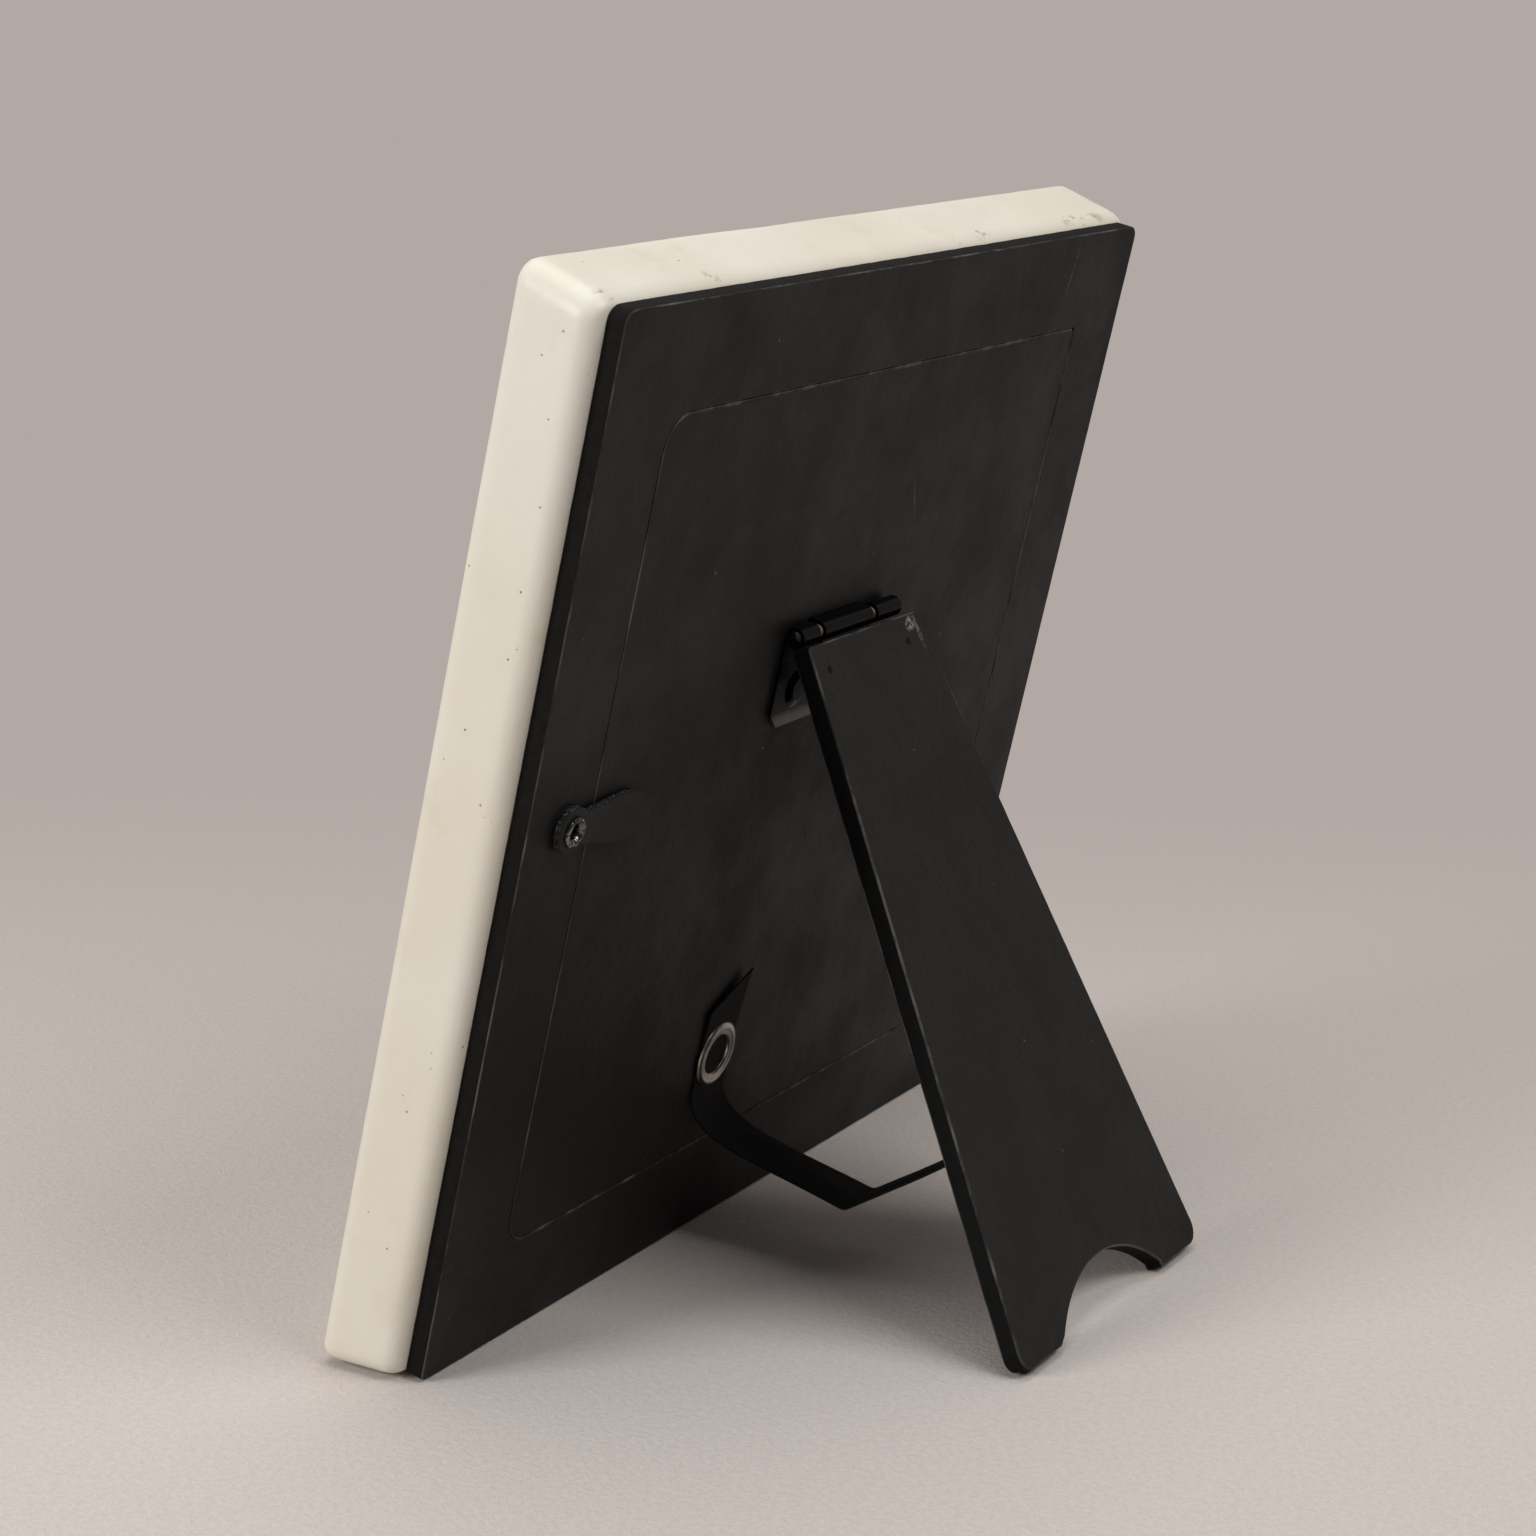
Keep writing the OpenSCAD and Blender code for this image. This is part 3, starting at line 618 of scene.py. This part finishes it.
def add_stage():
    """A pale floor that rises behind the object into a backdrop of its own even tone."""
    s = Shader("studio_floor", (0.60, 0.555, 0.53), roughness=0.8, Specular_IOR_Level=0.2)
    at = s.coordinates()
    depth = s.math("ADD", s.math("MULTIPLY", at["X"], -AWAY.x),
                   s.math("MULTIPLY", at["Y"], -AWAY.y))
    fade_from, fade_to = -0.02, 0.36    # where the lit floor turns into the even backdrop
    fade = s.node("ShaderNodeMapRange", interpolation_type="SMOOTHSTEP")
    s.feed(fade, {"Value": depth, "From Min": fade_from, "From Max": fade_to})
    glow = s.node("ShaderNodeEmission")
    glow.inputs["Color"].default_value = (*ROOM, 1)
    blend = s.node("ShaderNodeMixShader")
    s.feed(blend, {0: fade.outputs["Result"], 1: s.shader.outputs[0], 2: glow.outputs[0]})
    s.tree.links.new(blend.outputs[0], s.output.inputs["Surface"])
    mottle = s.noise(900, 3, 0.7)
    s.set("Base Color", s.mix(s.ramp(mottle, [(0.3, 0), (0.7, 1)]), (0.575, 0.532, 0.508),
                              (0.625, 0.578, 0.552)))
    s.bump(mottle, 0.2 * MM)
    near, far, turn, top, side = 2.0, 0.8, 0.5, 2.0, 3.0   # the floor's sizes in metres
    profile = [(-near, 0)] + [(far + y, turn + z) for y, z in arc((0, 0), turn, -90, 0, 16)]
    profile.append((far + turn, top))
    across = Vector((AWAY.y, -AWAY.x, 0))
    points = [-AWAY * y + across * x + Vector((0, 0, z))
              for y, z in profile for x in (-side, side)]
    faces = [(2 * i, 2 * i + 1, 2 * i + 3, 2 * i + 2) for i in range(len(profile) - 1)]
    mesh = bpy.data.meshes.new("floor")
    mesh.from_pydata(points, [], faces)
    mesh.materials.append(s.material)
    floor = bpy.data.objects.new("floor", mesh)
    scene.collection.objects.link(floor)


add_stage()


# ---------------------------------------------------------------- cream body

TOP_DRAFT = math.radians(10.5)          # slope of the top face, falling to the rear
SIGHT_LIP = 5 * MM                      # how much of the print the body covers
WINDOW_BEVEL = 3 * MM
POCKET_PLAY = 0.75 * MM


def rectangle_ring(x_half, z_low, z_high, low_r, high_r):
    """Points round a rectangle with rounded corners; every ring has the same number."""
    corner_steps, side_steps = 8, 96
    corners = [(x_half, z_low, -90), (x_half, z_high, 0), (-x_half, z_high, 90),
               (-x_half, z_low, 180)]
    arcs = []
    for x, z, start in corners:
        radius = low_r if z == z_low else high_r
        centre = (x - math.copysign(radius, x), z + (radius if z == z_low else -radius))
        arcs.append(arc(centre, radius, start, start + 90, corner_steps))
    ring = []
    for i, corner in enumerate(arcs):
        ring += corner
        a, b = Vector(corner[-1]), Vector(arcs[(i + 1) % 4][0])
        ring += [tuple(a.lerp(b, k / side_steps)) for k in range(1, side_steps)]
    return ring


def uneven(p, middle, amount, on_front):
    """Moves a point of the body in or out a little, in slow swells and finer ripples. It is
    pulled in by as much, so that it stays inside the box of the CAD body."""
    swell = noise.noise(p * 26) * 0.22 + noise.noise(p * 90 + middle) * 0.10
    ripple = noise.noise(p * 320) * 0.035
    shift = (swell * 0.7 + ripple) * MM * amount
    if on_front:
        return p + Vector((0, 0.1 * MM * amount - shift, 0))
    away = Vector((p.x, 0, p.z - middle.z)).normalized()
    pull = Vector((0, 0.10 if p.y < -10 * MM else 0, 0)) - away * 0.12
    return p + away * shift + pull * MM * amount


def add_body():
    """Rings from the rear edge over the sides and the front, then in through the window."""
    low, high = node_span("frame_body", BOARD)
    print_low, print_high = node_span("picture_print", BOARD)
    glass_low, _ = node_span("glass_pane", BOARD)
    front, back = low.y, high.y
    front_r, rear_r, rear_top_r = 2.8 * MM, 2.8 * MM, 1.5 * MM
    low_r, high_r = 3.0 * MM, 3.8 * MM
    window = (print_high.x - SIGHT_LIP, print_low.z + SIGHT_LIP, print_high.z - SIGHT_LIP)
    pocket = (print_high.x + POCKET_PLAY, print_low.z - POCKET_PLAY, print_high.z + POCKET_PLAY)

    def outer(y, d, dz=None):
        """The body's outline at y, moved out by d, and by dz at its top and bottom."""
        dz = d if dz is None else dz
        z_low = low.z + (y - front) * math.tan(LEAN)
        z_high = high.z - (y - front) * math.tan(TOP_DRAFT)
        return rectangle_ring(high.x + d, z_low - dz, z_high + dz, low_r + d, high_r + d)

    def inner(sizes, d=0.0):
        """The outline of the window or the pocket, moved out by d."""
        x, z_low, z_high = sizes
        return rectangle_ring(x + d, z_low - d, z_high + d, 0.3 * MM, 0.3 * MM)

    rings = []                          # outline, y, and how uneven it is, from 0 to 1
    for a in range(90, -1, -15):
        c, s = math.cos(math.radians(a)), math.sin(math.radians(a))
        y = back - rear_r + rear_r * s
        rings.append((outer(y, rear_r * (c - 1), rear_top_r * (c - 1)), y, 0.3 + 0.7 * c))
    side_rings = 9
    for k in range(1, side_rings):
        y = back - rear_r + (front + front_r - back + rear_r) * k / side_rings
        rings.append((outer(y, 0), y, 1))
    for a in range(0, 91, 15):
        c, s = math.cos(math.radians(a)), math.sin(math.radians(a))
        y = front + front_r - front_r * s
        rings.append((outer(y, front_r * (c - 1)), y, 1))
    face_rings = 14
    edge, sight = outer(front, -front_r), inner(window, WINDOW_BEVEL)
    for k in range(1, face_rings + 1):
        t = k / face_rings
        mixed = [tuple(Vector(p).lerp(Vector(q), t)) for p, q in zip(edge, sight)]
        rings.append((mixed, front, 1))
    for t in (0.12, 0.5, 0.88, 1.0):
        rings.append((inner(window, WINDOW_BEVEL * (1 - t)), front + WINDOW_BEVEL * t, 0.4))
    for outline, y in ((inner(window), glass_low.y), (inner(pocket), glass_low.y),
                       (inner(pocket), back)):
        rings.append((outline, y, 0))
    middle = Vector((0, 0, (low.z + high.z) / 2))
    points = [uneven(Vector((x, y, z)), middle, amount, abs(y - front) < 0.1 * MM)
              for outline, y, amount in rings for x, z in outline]
    faces = loft_faces(len(rings), len(rings[0][0]), closed=True)
    piece = add_piece("cream_body", points, faces, BOARD, "frame", [CREAM],
                      ["frame_body"])
    weld(piece, FINE_WELD)


add_body()


# ---------------------------------------------------------------- board, hatch and cover paper

HATCH_CORNER = 5 * MM
HINGED_CORNER = 0.2 * MM                # the hatch's corners at its foot
SAW_CUT = 0.4 * MM


def rectangle(x_half, z_low, z_high):
    return [(-x_half, z_low), (x_half, z_low), (x_half, z_high), (-x_half, z_high)]


def hatch_outline(grow):
    low, high = node_span("hatch_panel", BOARD)
    corners = rectangle(high.x + grow, low.z - grow, high.z + grow)
    radius = HATCH_CORNER + grow
    return round_corners(corners, [HINGED_CORNER, radius, radius, HINGED_CORNER], steps=10)


def add_board():
    """The board and its paper round the hatch; the cover paper's hatch part is the hatch's."""
    low, high = node_span("cover_paper", BOARD)
    board_low, _ = node_span("back_board", BOARD)
    low_r, high_r, edge = 1.0 * MM, 2.2 * MM, 0.18 * MM
    outline = round_corners(rectangle(high.x, low.z, high.z), [low_r, low_r, high_r, high_r])
    middle = Vector((0, 0, (low.z + high.z) / 2))
    rough = roughen(subdivide(outline, 1.2 * MM), 0, lambda p: (middle - p).normalized(),
                    0.06, (0.07, 300), (0.05, 60))
    rivet_hole = circle(middle_of("button_rivet"), 1.6 * MM)
    add_plate("board_border", [rough, hatch_outline(SAW_CUT), rivet_hole],
              board_low.y, high.y, edge, BOARD, "frame", [PAPER, FIBRE, RUBBED],
              ["back_board", "cover_paper"])


def add_hatch():
    """The hatch with its share of the cover paper, and a hole for the eyelet."""
    low, _ = node_span("hatch_panel", BOARD)
    paper = node_span("cover_paper", BOARD)[1].y
    eyelet_hole = circle(middle_of("ribbon_eyelet"), 3.8 * MM)
    add_plate("hatch_board", [hatch_outline(0), eyelet_hole], low.y, paper,
              0.12 * MM, BOARD, "frame", [PAPER, FIBRE, RUBBED], ["hatch_panel"])


add_board()
add_hatch()


def add_cut_lips():
    """The raised, whitened lips of the cut paper on three sides of the hatch."""
    _, high = node_span("hatch_panel", BOARD)
    paper = node_span("cover_paper", BOARD)[1].y
    outline = subdivide(hatch_outline(SAW_CUT / 2), 0.8 * MM)
    above_foot = 100 * MM
    start = min(range(len(outline)),
                key=lambda i: (outline[i][1] > above_foot, abs(outline[i][0] + high.x)))
    path = [p for p in outline[start:] + outline[:start] if p[0] > -high.x + 0.5 * MM]
    points, sides = [], 6
    for i, (x, z) in enumerate(path):
        a, b = Vector(path[max(i - 1, 0)]), Vector(path[min(i + 1, len(path) - 1)])
        along = (b - a).normalized()
        across = Vector((-along.y, along.x))
        lift = 0.5 + 0.5 * noise.noise(Vector((x, z, 0)) * 120)
        half = (0.13 + 0.07 * lift) * MM
        for k in range(sides):
            angle = 2 * math.pi * k / sides
            side = across * half * math.cos(angle)
            rise = (0.03 + 0.05 * lift) * MM * math.sin(angle)
            points.append((x + side.x, paper + rise, z + side.y))
    count = len(path)
    faces = loft_faces(count, sides)
    faces += [tuple(range(sides)), tuple((count - 1) * sides + k for k in range(sides))]
    add_piece("hatch_cut", points, faces, BOARD, "frame", [CUT_LINE])


add_cut_lips()


# ---------------------------------------------------------------- turn button and its rivet

LEAF_DROOP = math.radians(3.5)          # angle of the leaf below level


def add_button():
    """A round hub and a leaf with a narrower neck, whose upper edge is mirrored below."""
    low, high = node_span("turn_button", BOARD)
    x, z = middle_of("button_rivet")
    hub_r = high.x - x
    reach = x - low.x
    leaf = 3.7 * MM                     # half the leaf's width
    neck = leaf * 0.74
    steps = 40
    hub = arc((x, z), hub_r, -138, 138, steps)
    widest = x - reach * 0.66
    leaf_end = [(widest - (reach - (x - widest)) * math.sin(a), z + leaf * math.cos(a))
                for a in [math.pi * k / steps for k in range(steps + 1)]]
    upper = [(x - hub_r * 0.95, z + neck * 0.98), (x - hub_r * 1.5, z + neck * 1.02),
             (x - hub_r * 2.1, z + neck * 1.13), (x - hub_r * 2.8, z + leaf * 0.95)]
    lower = [(px, 2 * z - pz) for px, pz in reversed(upper)]
    outline = subdivide(hub + upper + leaf_end + lower, 0.22 * MM)
    droop = Matrix.Translation((x, 0, z)) @ Matrix.Rotation(-LEAF_DROOP, 4, "Y")
    turned_down = [droop @ Vector((px - x, 0, pz - z)) for px, pz in outline]
    leaf_middle = Vector((x - 6 * MM, 0, z))
    rough = roughen([(p.x, p.z) for p in turned_down], 0, lambda p: (leaf_middle - p).normalized(),
                    0.10, (0.16, 1300), (0.06, 500))
    add_plate("button_leaf", [rough, circle((x, z), 1.55 * MM)], low.y, high.y, 0.18 * MM,
              BOARD, "button", [BUTTON, BUTTON_EDGE, BUTTON], ["turn_button"])


def add_button_rivet():
    """A tubular rivet whose end is split into petals and rolled outwards."""
    low, high = node_span("button_rivet", BOARD)
    button_top = node_span("turn_button", BOARD)[1].y
    shank, bore, lip = 1.5 * MM, 1.15 * MM, 2.30 * MM
    head, roll_r, petals = 0.5 * MM, 0.42 * MM, 6
    crest = high.y
    profile = [(bore, low.y), (lip, low.y), (lip, low.y + head), (shank, low.y + head),
               (shank, button_top), (lip - 0.1 * MM, button_top + 0.06 * MM)]
    profile += arc((lip - roll_r, crest - roll_r), roll_r, -30, 150, 8)
    profile += [(bore + 0.12 * MM, crest - 0.40 * MM), (bore, crest - 0.7 * MM)]

    def split(radius, y, angle, k):
        if y < button_top:
            return radius, y
        gap = abs((angle * petals / (2 * math.pi)) % 1 - 0.5) * 2
        notch = max(0.0, (gap - 0.86) / 0.14)
        lift = noise.noise(Vector((math.cos(angle), math.sin(angle), k * 0.2)) * 1.7)
        return radius - notch * 0.45 * MM * (radius > shank), y - (notch * 0.3 + 0.08 * lift) * MM

    add_turned("rolled_rivet", profile, middle_of("button_rivet"), BRIGHT,
               ["button_rivet"], split, 144)


add_button()
add_button_rivet()
use_material("button_washer", BUTTON)


# ---------------------------------------------------------------- ribbon and eyelet

def add_eyelet():
    """An eyelet with a rounded, slightly dented flange."""
    low, high = node_span("ribbon_eyelet", BOARD)
    outer_r, barrel, bore = (high.x - low.x) / 2, 3.65 * MM, 3.2 * MM
    seat, crest = high.y - 0.5 * MM, high.y
    profile = [(bore, low.y), (barrel + 0.45 * MM, low.y), (barrel, low.y + 0.7 * MM),
               (barrel, seat), (outer_r - 0.12 * MM, seat), (outer_r, seat + 0.14 * MM)]
    for t in (0, 0.2, 0.4, 0.6, 0.8, 1.0):
        crown = (0.30 + 0.20 * math.sin(math.pi * t)) * MM
        profile.append((outer_r - 0.35 * MM - t * 1.0 * MM, seat + crown))
    profile += [(bore + 0.45 * MM, crest - 0.12 * MM), (bore + 0.12 * MM, crest - 0.4 * MM),
                (bore, crest - 0.95 * MM)]

    def dented(radius, y, angle, k):
        dent = noise.noise(Vector((math.cos(angle) * 1.4, math.sin(angle) * 1.4, k * 0.15)))
        return radius + 0.05 * MM * dent * (y > seat), y + 0.05 * MM * dent * (y > seat)

    add_turned("eyelet_ring", profile, middle_of("ribbon_eyelet"), NICKEL,
               ["ribbon_eyelet"], dented, 128)


RIBBON_T = 0.35 * MM
RIBBON_TAIL = 14 * MM                   # above the eyelet's middle
FOLD_DROP = 16.9 * MM                   # how far the fold hangs below a straight line
FOLD_AT = 0.53                          # where along that line the fold hangs
GLUED = 10 * MM
GLUE_AT = 81.4 * MM                     # down the leg from the hinge pin
TAIL_STEPS, FLAT_STEPS, RUN_STEPS, GLUED_STEPS = 24, 14, 60, 20   # points of the middle line


def on_board(x, y, z):
    return BOARD @ Vector((x, y, z))


def cubic(a, b, c, d, t):
    return a * (1 - t) ** 3 + b * 3 * (1 - t) ** 2 * t + c * 3 * (1 - t) * t * t + d * t ** 3


def ribbon_path():
    """The middle line of the ribbon, from its tail to its glued end, in y and z."""
    eye_low, eye_high = node_span("ribbon_eyelet", BOARD)
    x, z = middle_of("ribbon_stay")[0], middle_of("ribbon_eyelet")[1]
    y = node_span("cover_paper", BOARD)[1].y + RIBBON_T / 2 + 0.03 * MM
    leg_y = node_span("easel_leg", LEG)[0].y - RIBBON_T / 2 - 0.08 * MM
    eyelet = on_board(x, y, z)
    leave = on_board(x, y, z - (eye_high.x - eye_low.x) / 2 - 0.2 * MM)
    meet = LEG @ Vector((x, leg_y, -GLUE_AT))
    drop = Vector((0, 0, FOLD_DROP))
    fold = eyelet + (meet - eyelet) * FOLD_AT - drop
    down = BOARD.to_3x3() @ Vector((0, 0, -1))
    path = []
    for k in range(TAIL_STEPS):
        t = k / TAIL_STEPS
        curl = 0.9 * MM * (1 - t) ** 2
        path.append(on_board(x, y + curl, z + RIBBON_TAIL * (1 - t)))
    path += [eyelet.lerp(leave, k / FLAT_STEPS) for k in range(FLAT_STEPS)]
    b, c = leave + down * FOLD_DROP / 2, fold + (leave - fold) * 0.4 - drop * 0.1
    path += [cubic(leave, b, c, fold, k / RUN_STEPS) for k in range(RUN_STEPS)]
    for k in range(RUN_STEPS):
        t = k / RUN_STEPS
        sag = 1 * MM * t * (1 - t)
        path.append(fold + (meet - fold) * t - Vector((0, 0, sag)))
    path += [LEG @ Vector((x, leg_y, -GLUE_AT + GLUED * k / GLUED_STEPS))
             for k in range(GLUED_STEPS + 1)]
    return x, path


def soften(path, rounds):
    """Rounds the path's folds a little, with its ends held."""
    for _ in range(rounds):
        path = [path[0]] + [(path[i - 1] + path[i] * 2 + path[i + 1]) / 4
                            for i in range(1, len(path) - 1)] + [path[-1]]
    return path


def even_stations(path, count):
    """The path's length, and count + 1 evenly spaced (distance, point) pairs along it."""
    run, length = [0.0], 0.0
    for a, b in zip(path, path[1:]):
        length += (b - a).length
        run.append(length)
    stations = []
    j = 0
    for k in range(count + 1):
        s = length * k / count
        while j < len(run) - 2 and run[j + 1] < s:
            j += 1
        t = (s - run[j]) / max(run[j + 1] - run[j], 1e-9)
        stations.append((s, path[j].lerp(path[j + 1], min(max(t, 0), 1))))
    return length, stations


def add_ribbon():
    """A thin closed sheet along the ribbon's middle line: its two sides and the four edges
    between them."""
    centre_x, path = ribbon_path()
    path = soften(path, 2)
    low, high = node_span("ribbon_stay", BOARD)
    half = (high.x - low.x) / 2
    across, fine = 20, 260              # steps across and along the sheet
    rib_pitch = 0.45 * MM
    length, stations = even_stations(path, fine)
    held_to = RIBBON_TAIL + 10 * MM     # flat under the eyelet up to here
    points, ribs = [], []
    for side in (1, -1):
        for k, (s, p) in enumerate(stations):
            before, after = stations[max(k - 1, 0)][1], stations[min(k + 1, fine)][1]
            along = (after - before).normalized()
            out = Vector((1, 0, 0)).cross(along)
            free = max(0.0, min(1.0, (s - held_to) / (8 * MM), (length - GLUED - s) / (6 * MM)))
            for i in range(across + 1):
                u = i / across * 2 - 1
                thin = RIBBON_T / 2 * (0.75 if abs(u) < 0.92 else 1.0)
                cup = 0.35 * MM * (1 - u * u) * free
                wave = 0.25 * MM * noise.noise(Vector((u * 1.2, s * 60, 0))) * free
                trim = max(0.0, 5.5 * MM * (0.5 + u / 2) - s) if s < 6 * MM else 0.0
                q = p + along * trim + out * (side * thin + cup + wave)
                q.x = centre_x + u * half * (1 - 0.01 * free)
                points.append(q)
                ribs.append(0.5 + 0.5 * math.sin(2 * math.pi * s / rib_pitch))
    row = across + 1
    sheet_points = row * (fine + 1)
    faces = []
    for k in range(fine):
        for i in range(across):
            a = k * row + i
            faces.append((a, a + 1, a + row + 1, a + row))
            b = a + sheet_points
            faces.append((b, b + row, b + row + 1, b + 1))
        for i in (0, across):
            a, b = k * row + i, k * row + i + sheet_points
            faces.append((a, a + row, b + row, b) if i == 0 else (a, b, b + row, a + row))
    for k in (0, fine):
        for i in range(across):
            a, b = k * row + i, k * row + i + sheet_points
            faces.append((a, b, b + 1, a + 1) if k == 0 else (a, a + 1, b + 1, b))
    ribbon = add_piece("ribbon", points, faces, Matrix(), None, [RIBBON],
                       ["ribbon_stay"])
    attribute = ribbon.data.attributes.new("rib", "FLOAT", "POINT")
    attribute.data.foreach_set("value", ribs)
    weld(ribbon, FINE_WELD)
    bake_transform(ribbon)


add_eyelet()
add_ribbon()
use_material("eyelet_washer", NICKEL)


# ---------------------------------------------------------------- easel leg

def add_leg():
    """The tapered leg with an arch between its feet and rounded corners."""
    low, high = node_span("easel_leg", LEG)
    top_half, foot_half = 17.1 * MM, 32.1 * MM
    arch_half, arch_h = 18.5 * MM, 8 * MM
    arch_r = (arch_half ** 2 + arch_h ** 2) / (2 * arch_h)
    centre = low.z + arch_h - arch_r
    spread = math.degrees(math.asin(arch_half / arch_r))
    corners = [(-arch_half, low.z), (-foot_half, low.z), (-top_half, high.z), (top_half, high.z),
               (foot_half, low.z), (arch_half, low.z)]
    small_r, foot_r = 0.8 * MM, 2.8 * MM
    outline = round_corners(corners, [small_r, foot_r, small_r, small_r, foot_r, small_r])
    trim = 3                            # degrees left free for the arch's rounded ends
    outline += arc((0, centre), arch_r, 90 - spread + trim, 90 + spread - trim, 30)
    middle = (low.z + high.z) / 2
    rough = roughen(subdivide(outline, 0.9 * MM), 30 * MM,
                    lambda p: Vector((-p.x, 0, (middle - p.z) * 0.3)).normalized(),
                    0.05, (0.06, 380))
    skin = 0.03 * MM                    # the brads' heads stand proud by this much
    add_plate("leg_board", [rough], low.y + skin, high.y - skin, 0.3 * MM, LEG, "leg",
              [LEG_PAPER, LEG_FIBRE, RUBBED], ["easel_leg"])


add_leg()

for cad_node, finish in (
        ("hinge_base", ENAMEL), ("hinge_leaf", ENAMEL), ("base_rivets", ENAMEL),
        ("leg_brads", ENAMEL), ("hinge_pin", PIN_WITH_PAINTED_GLINT), ("retaining_tabs", STEEL),
        ("base_rivet_burrs", STEEL), ("glass_pane", GLASS), ("picture_print", PRINT),
        ("backing_card", CARD)):
    use_material(cad_node, finish)
